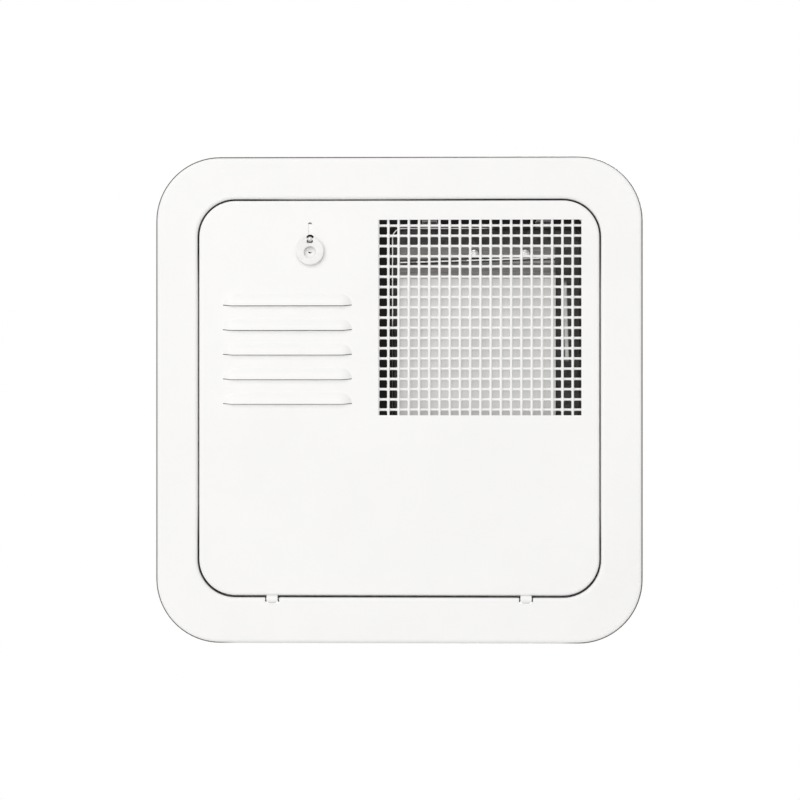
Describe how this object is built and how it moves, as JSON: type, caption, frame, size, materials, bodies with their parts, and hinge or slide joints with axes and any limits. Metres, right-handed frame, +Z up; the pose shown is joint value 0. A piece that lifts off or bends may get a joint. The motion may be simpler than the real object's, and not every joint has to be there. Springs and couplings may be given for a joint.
{
  "type": "water heater access door",
  "caption": "White pressed-steel access door for a caravan water heater: rounded trim frame, drop-down door with louvres, wire exhaust grille and a pull-ring latch.",
  "frame": {"origin": "middle of the back of the bottom seal strip, on the wall's face", "axes": "+X to the right as seen from outside, +Y into the wall, +Z up; the front faces -Y"},
  "size_m": [0.386, 0.0401, 0.386],
  "materials": {
    "white_paint": "satin",
    "foam": "matte",
    "zinc": "satin",
    "alloy": "satin",
    "nylon": "satin"
  },
  "bodies": {
    "frame": {"trim_frame": "white_paint", "seal_top": "foam", "seal_bottom": "foam", "seal_left": "foam", "seal_right": "foam", "latch_keeper": "white_paint", "hinge_clip_left": "white_paint", "hinge_clip_right": "white_paint", "hinge_pin_left": "zinc", "hinge_pin_right": "zinc"},
    "door": {"door_panel": "white_paint", "latch_backing": "white_paint", "wire_grille": "white_paint", "grille_clamp_top": "zinc", "grille_clamp_bottom": "zinc", "grille_clamp_left": "zinc", "grille_clamp_right": "zinc", "heat_shield": "zinc", "shield_bracket_top_left": "zinc", "shield_bracket_top_right": "zinc", "shield_bracket_bottom_left": "zinc", "shield_bracket_bottom_right": "zinc", "instruction_plate": "alloy", "hinge_knuckle_left": "white_paint", "hinge_knuckle_right": "white_paint"},
    "latch": {"latch_shank": "zinc", "latch_crossbar": "zinc", "latch_spring": "zinc", "latch_washer": "zinc"},
    "ring": {"pull_ring": "nylon", "ring_pin": "zinc"}
  },
  "joints": [
    {"name": "door_hinge", "type": "hinge", "parent": "frame", "child": "door", "pos_m": [0, -0.0036, 0.0159], "axis": [1, 0, 0], "range_deg": [0, 100]},
    {"name": "latch_turn", "type": "hinge", "parent": "door", "child": "latch", "pos_m": [-0.0704, -0.008, 0.3011], "axis": [0, 1, 0], "range_deg": [0, 90]},
    {"name": "ring_flip", "type": "hinge", "parent": "latch", "child": "ring", "pos_m": [-0.0704, -0.008, 0.3011], "axis": [-1, 0, 0], "range_deg": [0, 90]}
  ]
}
